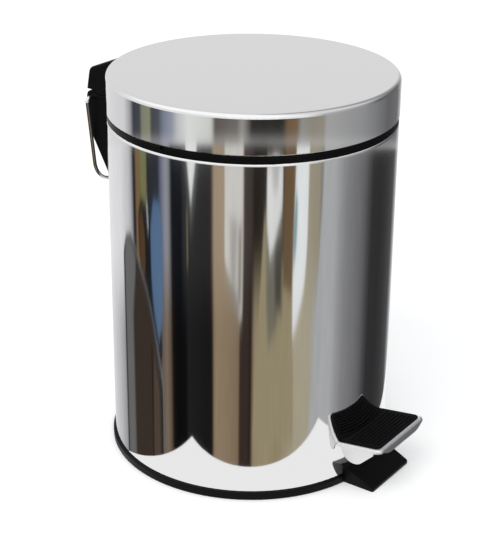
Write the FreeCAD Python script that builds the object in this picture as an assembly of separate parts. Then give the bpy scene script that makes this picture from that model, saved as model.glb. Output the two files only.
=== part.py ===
import FreeCAD, Part
import math
import os

from FreeCAD import Vector

# A round steel pedal bin with a hinged lid, a plastic inner bucket and a wire
# carry handle.  Millimetres.  The origin lies on the floor, on the axis of the
# round body.  +Z is up, the pedal faces -Y and the lid hinge is at +Y.

os.makedirs("parts", exist_ok=True)

UP = Vector(0, 0, 1)
ACROSS = Vector(1, 0, 0)
ORIGIN = Vector(0, 0, 0)

# ---------------------------------------------------------------- driving sizes

# Clearances
fit = 0.15                    # between pieces that are assembled and stay put
press = 0.05                  # round a pin, rivet or screw in its own hole
play = 0.08                   # round a pin that turns or a rod that slides
slot_gap = 0.3                # round a hook in its slot, and beside it
moving_gap = 0.4              # between surfaces that pass each other
seat_gap = 0.2                # under a piece that rests on another
cut_over = 5.0                # a cut runs on past the surface by this much

# Steel body and its trims
body_radius = 102.5           # outside of the tube
sheet = 0.6                   # steel sheet of body and lid
bin_height = 283.8            # floor to the top of the lid
body_roll = 2.2               # radius of the rolled upper edge
body_seat = 3.0               # floor to the lower edge of the tube
collar_height = 4.6           # visible height of the plastic collar
collar_spigot = 12.0          # depth of the collar inside the tube
collar_inset = 5.0            # tube outside to the outside of that spigot
collar_wall = 2.2
collar_edge = 0.8             # rounding of the collar's outer edge
collar_mark_width = 3.0       # small notch over each bucket handle pivot
collar_mark_depth = 1.0
collar_mark_height = 2.2

# Lid
lid_height = 28.6             # hem to top
lid_gap = 0.3                 # hem above the collar
lid_overhang = 0.3            # lid wall beyond the body wall
lid_edge = 3.4                # rounding between lid wall and lid top
lid_dome = 0.5                # rise of the top at its middle
hem_thickness = 1.5
hem_height = 2.6

# Base pan with its anti-tip foot
base_height = 5.8             # visible height of the base ring
base_overhang = 1.7           # base ring beyond the body wall
base_edge = 0.8               # rounding of the ring's lower edge
base_top_edge = 0.6           # rounding of its upper edge
base_ring_width = 6.4         # width of the ring that stands on the floor
base_wall = 2.2
base_floor_lift = 1.2         # underside of the pan's floor above the ground
base_spigot = 14.0            # floor to the top of the wall inside the tube
foot_length = 22.5            # body wall to the foot's front edge
foot_width = 50.4
foot_front_height = 1.8
foot_rear_height = 12.8
foot_corner = 1.5
foot_wall = 2.2
foot_root = 6.0               # how far it runs in under the tube
foot_bays = 3                 # hollows under the foot, with ribs between

# Hinge housing and hinge
hinge_setback = 21.7          # hinge axis behind the body wall
hinge_drop = 7.0              # hinge axis below the lid's hem
knuckle_radius = 5.0
knuckle_gap = 0.4             # between neighbouring knuckles, along the axis
outer_knuckle = 8.8           # length of each knuckle on the body's housing
hinge_pin_radius = 2.0
hinge_pin_bite = 2.6          # length of the pin inside each of those
housing_width = 57.4
housing_wall = 2.2
housing_root = 14.0           # its raw block starts this far inside the steel
housing_round = 1.5           # rounding of the housing's side edges
seam_drop = 4.3               # lid's hem down to the seam between the housings
seam_gap = 0.5
upper_corner = 6.0            # rounding of the lid housing's rear upper corner
upper_top_slope = 22.0        # degrees, fall of its top surface to the rear
upper_rear_lean = 10.5        # degrees, lean of its rear face
upper_top_drop = 2.6          # lid top to the housing's top at the lid wall
upper_reach = 5.3             # its rear lower lip behind the hinge axis
web_setback = 1.8             # knuckle web in from that lip
lower_depth = 22.8            # body wall to the rear face, near the bend
lower_bend_drop = 31.2        # hinge axis to where the rear face turns in
lower_bend_round = 5.0
lower_tip_drop = 73.2         # hinge axis to where the taper meets the body
lower_reach = 4.5             # rear face behind the hinge axis, at the knuckle
pocket_land = 1.2             # flat top of the rear wall behind the knuckle pocket
lid_opening = 75.0            # degrees

# Screws that hold the housings
screw_radius = 2.0
screw_head_radius = 3.8
screw_head_height = 2.0
screw_head_round = 1.2
screw_length = 13.0
recess_width = 1.0            # the slot across the head
recess_depth = 1.2
boss_radius = 4.0
backing = 1.2                 # thickness of the curved steel backing plates
lid_screw_offset = 15.0       # sideways, from the middle plane
lid_screw_rise = 10.8         # above the lid's hem
housing_screw_places = ((11.2, 20.0), (49.2, 13.5))   # below the hinge, sideways
lid_plate_height = 13.0
lid_plate_width = 44.0
body_plate_margin = 6.0       # round the outermost screws

# Lift rod
rod_radius = 1.5
rod_inset = 7.9               # inside the tube's inner wall
crank_arm = 12.0              # hinge axis to the rod's upper stretch
rod_step_drop = 76.2          # hinge axis to where it starts to lean out
rod_step_height = 38.0        # height over which it moves out
rod_bend = 10.0
rod_hook_bend = 3.0
rod_foot_z = 11.5             # height of its lower hook
rod_upper_hook = 10.8         # length of the upper hook, sideways
rod_lower_hook = 7.6
crank_inner = 4.5             # crank plate, sideways from the middle plane
crank_thickness = 4.0
crank_rim = 2.2               # metal round the crank's slot
push_nut_radius = 3.8
push_nut_thickness = 0.8
low_guide_z = 62.0            # floor to the lower guide
high_guide_drop = 24.0        # the rod's step down to the upper guide
guide_length = 10.0
guide_strap = 1.0
guide_foot = 6.0
body_slot_margin = 1.5        # round the rod, where it passes the body wall

# Pedal and its lever
pivot_inset = 40.5            # lever pivot in from the front of the body wall
pivot_z = 15.0
pivot_radius = 2.5
lug_thickness = 4.5
lug_rim = 3.2                 # plastic round the pin
lug_spread = 1.6              # half its root, over its radius at the pin
lever_width = 22.0
lever_thickness = 2.3
lever_low_z = 11.5            # middle of the bar, under the bucket
lever_flange = 5.0            # height of its folded side flanges
lever_rod_gap = 8.0           # end of the flat bar to the rod
lever_tab_length = 12.0       # upright tab with the eye, on that end
lever_flange_start = 2.0      # flanges begin behind the dip
lever_eye = 2.0               # metal round the slot at its rear end
lever_inner_run = 2.5         # straight on past the pedal, before it dips
lever_dip_start = 22.0        # in front of the pivot
lever_dip_end = 14.0
clip_radius = 4.6
clip_thickness = 0.8
pedal_width = 63.4
pedal_past_foot = 7.9         # the pedal's front edge beyond the foot's
pedal_wrap = 4.1              # its rear corners reach back round the tube
pedal_rear_z = 34.4
pedal_tilt = 7.9              # degrees, front up
pedal_sheet = 0.9
pedal_rim = 6.2               # height of the folded rim, at the front
pedal_rim_end = 2.9           # and at the corners and sides
pedal_rim_rise = 12.0         # length over which it gets lower
pedal_corner = 4.5
pedal_fold = 2.0              # outside radius of the folded edge
pedal_wall_gap = 0.5          # pedal to body wall
cheek_forward = 13.7          # centre of its arc, forward of the rear corners
cheek_drop = 1.0              # and below them
cheek_radius = 11.0
cheek_heel_angle = 190.0      # degrees round that centre, where its edge starts
cheek_corner_forward = 3.5    # from the centre to where it starts to slant up
cheek_corner_round = 8.5
cheek_toe_back = 5.7          # slanting edge meets the rim, behind the front edge
cheek_toe_drop = 0.8          # and below the rear corners
pad_border = 2.4              # plain steel left round the pad
pad_corner = 4.5
pad_wall_gap = 0.1            # the pad's rear edge in from the tray's
pad_base = 0.9
pad_rib_end = 4.4             # smooth rim of the pad beside the ribs
pad_rib_front = 3.4           # and in front of the first rib
pad_rib_height = 0.9
pad_rib_pitch = 3.1
pad_rib_width = 1.7
rivet_radius = 2.2
rivet_head = 3.8
rivet_head_height = 1.5
rivet_steps = (11.0, 23.0)    # from the pedal's front edge

# Inner bucket
bucket_clearance = 1.3        # bucket wall to the collar
bucket_flange = 4.2           # width of its rim
bucket_flange_height = 1.4
bucket_ledge = 2.3            # collar top down to the ledge it rests on
bucket_ledge_gap = 0.4        # round the bucket's rim
bucket_bottom_z = 38.0
bucket_taper = 15.0           # radius lost from rim to floor
bucket_wall = 1.6
bucket_round = 7.0
ear_width = 13.0
ear_thickness = 4.0
ear_inset = 0.4               # its outer face in from the bucket's wall
ear_pivot = 4.6               # bucket rim up to the handle's pivot
ear_top = 5.6                 # pivot up to the ear's top

# Wires
handle_wire = 1.4             # radius of the carry handle's wire
handle_clear = 6.0            # housing's side to the middle of a leg
handle_drop = 68.0            # pivots to the middle of its lower bar
handle_taper = 16.8           # its legs come nearer by this much, going down
handle_bend = 19.5
handle_hook_bend = 3.0
bail_wire = 1.25
bail_bend = 3.0               # where its ends turn in to the ears
bail_hook_out = 0.85          # length of its ends that shows inside the ears
bail_inset = 2.25             # bucket's rim to the middle of the folded wire
bail_rest_gap = 0.75          # bucket rim to the folded bail

# ------------------------------------------------------------- derived positions

lid_hem_z = bin_height - lid_height
collar_top = lid_hem_z - lid_gap
body_top = collar_top - collar_height
body_inside = body_radius - sheet
lid_radius = body_radius + lid_overhang
lid_inside = lid_radius - sheet
base_radius = body_radius + base_overhang
foot_reach = body_radius + foot_length
base_floor_top = base_floor_lift + base_wall
collar_spigot_radius = body_radius - collar_inset
hinge_y = body_radius + hinge_setback
hinge_z = lid_hem_z - hinge_drop
housing_half = housing_width / 2
pocket_half = housing_half - outer_knuckle
middle_half = pocket_half - knuckle_gap
pocket_radius = knuckle_radius + moving_gap
hinge_pin_half = pocket_half + hinge_pin_bite
handle_half = housing_half + handle_clear
lid_screw_z = lid_hem_z + lid_screw_rise
lid_screw_rows = ((lid_screw_z, lid_screw_offset),)
housing_screw_rows = [(hinge_z - drop, offset) for drop, offset in housing_screw_places]
seam_top = lid_hem_z - seam_drop + seam_gap / 2
seam_bottom = lid_hem_z - seam_drop - seam_gap / 2
lower_bend_z = hinge_z - lower_bend_drop
lower_tip_z = hinge_z - lower_tip_drop

half_opening = math.radians(lid_opening / 2)
rod_y = body_inside - rod_inset
rod_step_z = hinge_z - rod_step_drop
guide_heights = (low_guide_z, rod_step_z - high_guide_drop)
rod_top_y = hinge_y - crank_arm
rod_travel = 2 * crank_arm * math.tan(half_opening)
rod_top_z = hinge_z - rod_travel / 2
rod_lean = (rod_top_y - rod_y) / rod_step_height
pivot_y = -body_radius + pivot_inset
lever_rear_end = rod_y - lever_rod_gap
lever_reach = rod_y - pivot_y
pedal_travel = math.asin(rod_travel / lever_reach)
pedal_front = foot_reach + pedal_past_foot
pedal_rear = body_radius - pedal_wrap
cheek_centre = (pedal_rear + cheek_forward, pedal_rear_z - cheek_drop)
cheek_corner = cheek_centre[0] + cheek_corner_forward
cheek_toe = (pedal_front - cheek_toe_back, pedal_rear_z - cheek_toe_drop)

bucket_rim_radius = collar_spigot_radius - collar_wall - bucket_clearance + bucket_flange
bucket_top_radius = bucket_rim_radius - bucket_flange
bucket_floor_radius = bucket_top_radius - bucket_taper
ledge_z = collar_top - bucket_ledge
bucket_rim_z = ledge_z + seat_gap
bucket_rim_top = bucket_rim_z + bucket_flange_height
ear_pivot_z = bucket_rim_top + ear_pivot


# ------------------------------------------------------------------ small helpers

def export(name, shape):
    """Write one node, as a solid or a group of solids."""
    shape.exportStep(os.path.join("parts", name + ".step"))


def outline(plane, start, steps):
    """Closed face in the 'xz', 'yz' or 'xy' plane.

    A step is a point, for a straight line, or a pair (middle, end) for an arc.
    """
    place = {
        "xz": lambda p: Vector(p[0], 0, p[1]),
        "yz": lambda p: Vector(0, p[0], p[1]),
        "xy": lambda p: Vector(p[0], p[1], 0),
    }[plane]
    edges = []
    here = place(start)
    for step in steps:
        if isinstance(step[0], tuple):
            middle, end = place(step[0]), place(step[1])
            edges.append(Part.Arc(here, middle, end).toShape())
        else:
            end = place(step)
            edges.append(Part.LineSegment(here, end).toShape())
        here = end
    edges.append(Part.LineSegment(here, place(start)).toShape())
    return Part.Face(Part.Wire(edges))


def on_circle(centre, radius, degrees):
    """Point on a circle, as a pair."""
    turn = math.radians(degrees)
    return (centre[0] + radius * math.cos(turn), centre[1] + radius * math.sin(turn))


def corner_arc(before, corner, after, radius):
    """Rounding of a corner between two straight lines: start, middle and end."""
    back = math.atan2(before[1] - corner[1], before[0] - corner[0])
    ahead = math.atan2(after[1] - corner[1], after[0] - corner[0])
    half = math.remainder(ahead - back, 2 * math.pi) / 2
    reach = radius / abs(math.tan(half))
    depth = radius / abs(math.sin(half)) - radius

    def off(angle, distance):
        return (corner[0] + distance * math.cos(angle), corner[1] + distance * math.sin(angle))

    return off(back, reach), off(back + half, depth), off(ahead, reach)


def turned(face):
    """Solid of revolution about Z."""
    return face.revolve(ORIGIN, UP, 360)


def across(face, half_width):
    """Extrude a yz face symmetrically along X."""
    moved = face.copy()
    moved.translate(Vector(-half_width, 0, 0))
    return moved.extrude(Vector(2 * half_width, 0, 0))


def block(x0, x1, y0, y1, z0, z1):
    return Part.makeBox(x1 - x0, y1 - y0, z1 - z0, Vector(x0, y0, z0))


def post(radius, z0, z1, x=0.0, y=0.0):
    return Part.makeCylinder(radius, z1 - z0, Vector(x, y, z0), UP)


def bar(radius, x0, x1, y, z):
    """Round bar or bore along X."""
    return Part.makeCylinder(radius, x1 - x0, Vector(x0, y, z), ACROSS)


def mirrored(shape):
    """The same piece on the other side of the middle plane."""
    return shape.mirror(ORIGIN, ACROSS)


def both_sides(shape):
    return [shape, mirrored(shape)]


def radial(shape, offset, radius):
    """Turn a piece made on the +Y line so that it lies offset sideways."""
    angle = math.degrees(math.asin(offset / radius))
    moved = shape.copy()
    moved.rotate(ORIGIN, UP, -angle)
    return moved


def rounded_path(points, radii):
    """Edges of a bent wire: straight runs joined by tangent arcs."""
    edges = []
    here = points[0]
    for corner, after, radius in zip(points[1:-1], points[2:], radii):
        back = (here - corner).normalize()
        ahead = (after - corner).normalize()
        half = back.getAngle(ahead) / 2
        reach = radius / math.tan(half)
        enter = corner + back * reach
        leave = corner + ahead * reach
        inward = (back + ahead).normalize()
        middle = corner + inward * (radius / math.sin(half) - radius)
        edges.append(Part.LineSegment(here, enter).toShape())
        edges.append(Part.Arc(enter, middle, leave).toShape())
        here = leave
    edges.append(Part.LineSegment(here, points[-1]).toShape())
    return edges


def bent_wire(edges, radius):
    """Round wire along a path that starts with a straight run."""
    path = Part.Wire(edges)
    start = edges[0].Vertexes[0].Point
    heading = edges[0].Vertexes[1].Point - start
    section = Part.Wire([Part.Circle(start, heading, radius).toShape()])
    return path.makePipeShell([section], True, False)


def edges_where(shape, test):
    return [edge for edge in shape.Edges if test(edge)]


def slot_along_y(y, z, half_length, radius, x0, x1):
    """Slot for a bar along X, longer along Y by half_length each way."""
    middle = block(x0, x1, y - half_length, y + half_length, z - radius, z + radius)
    ends = [bar(radius, x0, x1, y + side * half_length, z) for side in (-1, 1)]
    return middle.multiFuse(ends).removeSplitter()


# ------------------------------------------------------------------- steel body

def screw_bore(radius, z, y0, y1):
    """Radial bore made on the +Y line."""
    return Part.makeCylinder(radius, y1 - y0, Vector(0, y0, z), Vector(0, 1, 0))


def radial_pairs(shape_at, rows, radius):
    """Left and right copies of a radial piece, for each (height, offset) row."""
    pieces = []
    for z, offset in rows:
        piece = radial(shape_at(z), offset, radius)
        pieces.extend(both_sides(piece))
    return pieces


def rod_wall_slot(inner, outer):
    """Upright slot through which the leaning rod leaves the body."""
    half = rod_radius + body_slot_margin
    lean_half = rod_radius / math.sin(math.atan(rod_lean))
    low = rod_step_z + (inner - rod_y) / rod_lean - lean_half - body_slot_margin
    high = rod_step_z + (outer - rod_y) / rod_lean + lean_half + rod_travel + body_slot_margin
    start = inner - cut_over
    end = outer + cut_over
    middle = block(-half, half, start, end, low + half, high - half)
    ends = [screw_bore(half, z, start, end) for z in (low + half, high - half)]
    return middle.multiFuse(ends)


def lever_wall_notch():
    """Opening in the front of the tube for the pedal lever."""
    drop = (body_radius + pivot_y) * math.sin(pedal_travel)
    bar_top = pedal_rear_z - pedal_sheet
    bar_bottom = bar_top - lever_thickness
    half = lever_width / 2 + body_slot_margin
    low = bar_bottom - drop - body_slot_margin
    return block(-half, half, -body_radius - cut_over, -body_inside + cut_over,
                 low, pedal_rear_z)


def make_body_shell():
    roll_inner = body_roll - sheet
    flange_tip = collar_spigot_radius + fit
    outer_roll = (body_radius - body_roll, body_top - body_roll)
    profile = outline("xz", (body_radius, body_seat), [
        (body_radius, body_top - body_roll),
        (on_circle(outer_roll, body_roll, 45), (body_radius - body_roll, body_top)),
        (flange_tip, body_top),
        (flange_tip, body_top - sheet),
        (body_radius - body_roll, body_top - sheet),
        (on_circle(outer_roll, roll_inner, 45), (body_inside, body_top - body_roll)),
        (body_inside, body_seat),
    ])
    shell = turned(profile)

    def bore(z):
        return screw_bore(screw_radius + fit, z, body_inside - cut_over, body_radius + cut_over)

    bores = radial_pairs(bore, housing_screw_rows, body_radius)
    return shell.cut([lever_wall_notch(), rod_wall_slot(body_inside, body_radius)] + bores)


def make_top_collar():
    outside = body_radius - fit
    spigot_inner = collar_spigot_radius - collar_wall
    ledge_radius = bucket_rim_radius + bucket_ledge_gap
    edge_centre = (outside - collar_edge, collar_top - collar_edge)
    profile = outline("xz", (outside, body_top), [
        (outside, collar_top - collar_edge),
        (on_circle(edge_centre, collar_edge, 45), (outside - collar_edge, collar_top)),
        (ledge_radius, collar_top),
        (ledge_radius, ledge_z),
        (spigot_inner, ledge_z),
        (spigot_inner, body_top - collar_spigot),
        (collar_spigot_radius, body_top - collar_spigot),
        (collar_spigot_radius, body_top),
    ])
    half = collar_mark_width / 2
    mark = block(outside - collar_mark_depth, outside + cut_over, -half, half,
                 collar_top - collar_mark_height, collar_top + cut_over)
    return turned(profile).cut(both_sides(mark))


def curved_plate(inner, outer, half, low, high):
    """Part of a tube's wall, on its +Y side."""
    ring = post(outer, low, high).cut(post(inner, low - cut_over, high + cut_over))
    return ring.common(block(-half, half, inner / 2, outer + cut_over, low, high))


def make_body_backing_plate():
    outer = body_inside - fit
    inner = outer - backing
    widest = max(offset for _, offset in housing_screw_rows) + body_plate_margin
    low = min(z for z, _ in housing_screw_rows) - body_plate_margin
    high = max(z for z, _ in housing_screw_rows) + body_plate_margin
    plate = curved_plate(inner, outer, widest, low, high)

    def bore(z):
        return screw_bore(screw_radius + fit, z, inner - cut_over, outer + cut_over)

    bores = radial_pairs(bore, housing_screw_rows, body_radius)
    return plate.cut([rod_wall_slot(inner, outer)] + bores)


def pan_head_screw(seat_y, z):
    """Screw along +Y with its domed head on the inner side."""
    shank = screw_bore(screw_radius, z, seat_y, seat_y + screw_length)
    head = screw_bore(screw_head_radius, z, seat_y - screw_head_height, seat_y)
    rim = edges_where(head, lambda e: abs(e.CenterOfMass.y - head.BoundBox.YMin) < 0.01
                      and len(e.Vertexes) == 1)
    head = head.makeFillet(screw_head_round, rim)
    top = seat_y - screw_head_height
    recess = block(-recess_width / 2, recess_width / 2, top - cut_over, top + recess_depth,
                   z - screw_radius, z + screw_radius)
    return shank.fuse(head).cut(recess)


def screw_seat(inside):
    """Where the screw heads sit, on a backing plate inside a steel wall."""
    return inside - fit - backing - fit


def screw_pilot(inside, z):
    """Bore of the screw boss, a little deeper than the screw."""
    return screw_bore(screw_radius + press, z, inside - cut_over,
                      screw_seat(inside) + screw_length + fit)


def make_housing_screws():
    seat = screw_seat(body_inside)
    return Part.Compound(radial_pairs(lambda z: pan_head_screw(seat, z),
                                      housing_screw_rows, body_radius))


def make_lid_screws():
    seat = screw_seat(lid_inside)
    return Part.Compound(radial_pairs(lambda z: pan_head_screw(seat, z),
                                      lid_screw_rows, lid_radius))


# --------------------------------------------------------------------- base pan

def pan_section():
    inside = body_inside - fit
    spigot_inner = inside - base_wall
    ring_inner = base_radius - base_ring_width
    edge_centre = (base_radius - base_edge, base_edge)
    top_centre = (base_radius - base_top_edge, base_height - base_top_edge)
    return outline("xz", (ring_inner, 0), [
        (base_radius - base_edge, 0),
        (on_circle(edge_centre, base_edge, -45), (base_radius, base_edge)),
        (base_radius, base_height - base_top_edge),
        (on_circle(top_centre, base_top_edge, 45), (base_radius - base_top_edge, base_height)),
        (body_radius + fit, base_height),
        (body_radius + fit, body_seat - fit),
        (inside, body_seat - fit),
        (inside, base_spigot),
        (spigot_inner, base_spigot),
        (spigot_inner, base_floor_top),
        (0, base_floor_top),
        (0, base_floor_lift),
        (ring_inner, base_floor_lift),
    ])


def foot_top(y):
    """Height of the foot's sloping top at a distance in front of the axis."""
    share = (y - body_radius) / (foot_reach - body_radius)
    return foot_rear_height + share * (foot_front_height - foot_rear_height)


def make_foot():
    half = foot_width / 2
    rear = body_inside - foot_root
    wedge = outline("yz", (-rear, 0), [
        (-foot_reach, 0),
        (-foot_reach, foot_front_height),
        (-body_radius, foot_rear_height),
        (-rear, foot_rear_height),
    ])
    corner_y = -foot_reach + foot_corner
    plan = outline("xy", (-half, -rear), [
        (-half, corner_y),
        (on_circle((-half + foot_corner, corner_y), foot_corner, 225),
         (-half + foot_corner, -foot_reach)),
        (half - foot_corner, -foot_reach),
        (on_circle((half - foot_corner, corner_y), foot_corner, -45), (half, corner_y)),
        (half, -rear),
    ])
    foot = across(wedge, half).common(plan.extrude(UP * foot_rear_height))
    bay_rear = body_radius + base_overhang + foot_wall
    bay_front = foot_reach - 2 * foot_wall
    bay = outline("yz", (-bay_rear, -cut_over), [
        (-bay_front, -cut_over),
        (-bay_front, foot_top(bay_front) - foot_wall),
        (-bay_rear, foot_top(bay_rear) - foot_wall),
    ])
    pitch = (foot_width - foot_wall) / foot_bays
    bay_solid = across(bay, (pitch - foot_wall) / 2)
    hollows = []
    for index in range(foot_bays):
        hollow = bay_solid.copy()
        hollow.translate(Vector((index - (foot_bays - 1) / 2) * pitch, 0, 0))
        hollows.append(hollow)
    tube_room = post(body_radius + fit, body_seat - fit, 2 * foot_rear_height)
    return foot.cut(hollows + [tube_room])


def lug_inner():
    return lever_width / 2 + moving_gap


def make_lug():
    """One of the two plates that carry the lever's pivot."""
    rim = pivot_radius + lug_rim
    spread = lug_spread * rim
    half = lug_thickness / 2
    side = outline("yz", (pivot_y - spread, base_floor_top - fit), [
        (pivot_y - rim, pivot_z),
        ((pivot_y, pivot_z + rim), (pivot_y + rim, pivot_z)),
        (pivot_y + spread, base_floor_top - fit),
    ])
    lug = across(side, half)
    lug.translate(Vector(lug_inner() + half, 0, 0))
    bore = bar(pivot_radius + press, lug_inner() - cut_over,
               lug_inner() + lug_thickness + cut_over, pivot_y, pivot_z)
    return lug.cut(bore)


def make_base_pan():
    pan = turned(pan_section())
    return pan.multiFuse([make_foot()] + both_sides(make_lug())).removeSplitter()


def make_pivot_pin():
    half = lug_inner() + lug_thickness + 2 * clip_thickness + fit
    return bar(pivot_radius, -half, half, pivot_y, pivot_z)


def make_pivot_clips():
    start = lug_inner() + lug_thickness + fit
    clip = bar(clip_radius, start, start + clip_thickness, pivot_y, pivot_z)
    before = start - cut_over
    after = start + cut_over
    clip = clip.cut(bar(pivot_radius + press, before, after, pivot_y, pivot_z))
    mouth = block(before, after, pivot_y - pivot_radius / 2, pivot_y + pivot_radius / 2,
                  pivot_z, pivot_z + 2 * clip_radius)
    return Part.Compound(both_sides(clip.cut(mouth)))


# -------------------------------------------------------------------------- lid

def make_lid_shell():
    edge_inner = lid_edge - sheet
    shoulder_z = bin_height - lid_dome
    edge_centre = (lid_radius - lid_edge, shoulder_z - lid_edge)
    hem_round = hem_thickness / 2
    hem_inner = lid_radius - hem_thickness
    hem_top = lid_hem_z + hem_height
    shoulder_r = lid_radius - lid_edge
    half_way = shoulder_r / 2
    sphere = (shoulder_r ** 2 + lid_dome ** 2) / (2 * lid_dome)
    dome_half = bin_height - sphere + math.sqrt(sphere ** 2 - half_way ** 2)
    profile = outline("xz", (0, bin_height), [
        ((half_way, dome_half), (shoulder_r, shoulder_z)),
        (on_circle(edge_centre, lid_edge, 45), (lid_radius, shoulder_z - lid_edge)),
        (lid_radius, lid_hem_z + hem_round),
        ((lid_radius - hem_round, lid_hem_z), (hem_inner, lid_hem_z + hem_round)),
        (hem_inner, hem_top - (lid_inside - hem_inner)),
        (lid_inside, hem_top),
        (lid_inside, shoulder_z - lid_edge),
        (on_circle(edge_centre, edge_inner, 45), (shoulder_r, shoulder_z - sheet)),
        ((half_way, dome_half - sheet), (0, bin_height - sheet)),
    ])

    def bore(z):
        return screw_bore(screw_radius + fit, z, lid_inside - cut_over, lid_radius + cut_over)

    bores = radial_pairs(bore, lid_screw_rows, lid_radius)
    return turned(profile).cut(bores)


def make_lid_backing_plate():
    outer = lid_inside - fit
    inner = outer - backing
    low = lid_screw_z - lid_plate_height / 2
    high = lid_screw_z + lid_plate_height / 2
    plate = curved_plate(inner, outer, lid_plate_width / 2, low, high)

    def bore(z):
        return screw_bore(screw_radius + fit, z, inner - cut_over, outer + cut_over)

    return plate.cut(radial_pairs(bore, lid_screw_rows, lid_radius))


# ---------------------------------------------------------------- hinge housings

def upper_section(inset):
    """Side section of the lid's housing, drawn smaller all round by inset."""
    front = lid_radius - housing_root + inset
    slope = math.tan(math.radians(upper_top_slope))
    lean = math.tan(math.radians(upper_rear_lean))
    top_shift = inset / math.cos(math.radians(upper_top_slope))
    rear_shift = inset / math.cos(math.radians(upper_rear_lean))
    lid_wall_side = math.sqrt(lid_radius ** 2 - housing_half ** 2)
    top_start = bin_height - upper_top_drop - top_shift
    lip_y = hinge_y + upper_reach - rear_shift
    lip_z = hinge_z + pocket_radius + moving_gap + inset

    def top_z(y):
        return top_start - (y - lid_wall_side) * slope

    # the upper rear corner, where the top's slope meets the leaning rear face
    rise = (top_z(lip_y) - lip_z + inset) / (1 - slope * lean)
    corner = (lip_y - rise * lean, lip_z - inset + rise)
    lip = (lip_y - inset * lean, lip_z)
    front_top = (front, top_z(front))
    leave, middle, enter = corner_arc(lip, corner, front_top, upper_corner - inset)
    pocket = pocket_radius + inset
    floor_z = seam_top + inset
    floor_angle = 180 - math.degrees(math.asin((floor_z - hinge_z) / pocket))
    axis = (hinge_y, hinge_z)
    over_pin = on_circle(axis, pocket, 90)
    return outline("yz", (front, floor_z), [
        on_circle(axis, pocket, floor_angle),
        (on_circle(axis, pocket, (floor_angle + 90) / 2), over_pin),
        lip,
        leave,
        (middle, enter),
        front_top,
    ])


def side_edges(shape, half_width, keep):
    """Long edges of a housing's two flat sides."""
    def test(edge):
        box = edge.BoundBox
        on_side = abs(abs(box.XMin) - half_width) < 0.01 and box.XMax - box.XMin < 0.01
        return on_side and keep(box)
    return edges_where(shape, test)


def crank_slot_error():
    """How far the rod strays across the crank's slot between its ends."""
    quarter = half_opening / 2
    height = crank_arm * math.tan(half_opening) / 2
    stray = math.atan(height / crank_arm) - quarter
    return math.hypot(crank_arm, height) * math.sin(stray)


def make_crank():
    """Arm on the lid's knuckle, with the slot that the rod's hook lifts."""
    slot_half = rod_radius + crank_slot_error() + fit
    near = crank_arm - slot_gap
    far = crank_arm / math.cos(half_opening) + slot_gap
    rim = slot_half + crank_rim
    x0 = crank_inner
    x1 = crank_inner + crank_thickness
    plate = block(x0, x1, -far, 0, -rim, rim)
    plate = plate.fuse(bar(rim, x0, x1, -far, 0))
    plate = plate.fuse(bar(knuckle_radius, x0, x1, 0, 0))
    slot = slot_along_y(-(near + far) / 2, 0, (far - near) / 2, slot_half,
                        x0 - cut_over, x1 + cut_over)
    crank = plate.cut(slot)
    crank.rotate(ORIGIN, ACROSS, math.degrees(half_opening))
    crank.translate(Vector(0, hinge_y, hinge_z))
    return crank


def housing_boss(z, outer_radius, length):
    """Radial screw boss, made on the +Y line."""
    return screw_bore(boss_radius, z, outer_radius, outer_radius + length)


def make_lid_housing():
    outer = across(upper_section(0), housing_half)
    outer = outer.makeFillet(housing_round, side_edges(
        outer, housing_half, lambda box: box.YMax > lid_radius and box.ZMin > lid_hem_z))
    cavity = across(upper_section(housing_wall), housing_half - housing_wall)
    lid_room = post(lid_radius + fit, 0, 2 * bin_height)
    boss_length = hinge_setback + upper_reach
    bosses = radial_pairs(lambda z: housing_boss(z, lid_radius, boss_length),
                          lid_screw_rows, lid_radius)
    bosses = [boss.common(outer) for boss in bosses]
    housing = outer.cut(cavity).multiFuse(bosses)
    knuckle = bar(knuckle_radius, -middle_half, middle_half, hinge_y, hinge_z)
    web = block(-middle_half, middle_half, hinge_y - knuckle_radius,
                hinge_y + upper_reach - web_setback,
                hinge_z, hinge_z + pocket_radius + housing_wall)
    housing = housing.multiFuse([knuckle, web, make_crank()])
    pin_bore = bar(hinge_pin_radius + play, -housing_half, housing_half, hinge_y, hinge_z)
    pilots = radial_pairs(lambda z: screw_pilot(lid_inside, z), lid_screw_rows, lid_radius)
    return housing.cut([lid_room, pin_bore] + pilots).removeSplitter()


def lower_section(inset):
    """Side section of the body's housing, drawn smaller all round by inset."""
    axis = (hinge_y, hinge_z)
    front = body_radius - housing_root
    bend = (body_radius + lower_depth, lower_bend_z)
    tip = (body_radius, lower_tip_z)
    taper = (bend[1] - tip[1]) / (bend[0] - tip[0])
    root = (front, tip[1] - (tip[0] - front) * taper)
    seam_angle = 180 - math.degrees(math.asin((seam_bottom - hinge_z) / knuckle_radius))
    rear_angle = -math.degrees(math.acos(lower_reach / knuckle_radius))
    rear_top = on_circle(axis, knuckle_radius, rear_angle)
    above, middle, below = corner_arc(rear_top, bend, root, lower_bend_round)
    face = outline("yz", (front, seam_bottom), [
        on_circle(axis, knuckle_radius, seam_angle),
        (on_circle(axis, knuckle_radius, (seam_angle + rear_angle) / 2), rear_top),
        above,
        (middle, below),
        root,
    ])
    if inset > 0:
        face = face.makeOffset2D(-inset)
    return face


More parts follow.
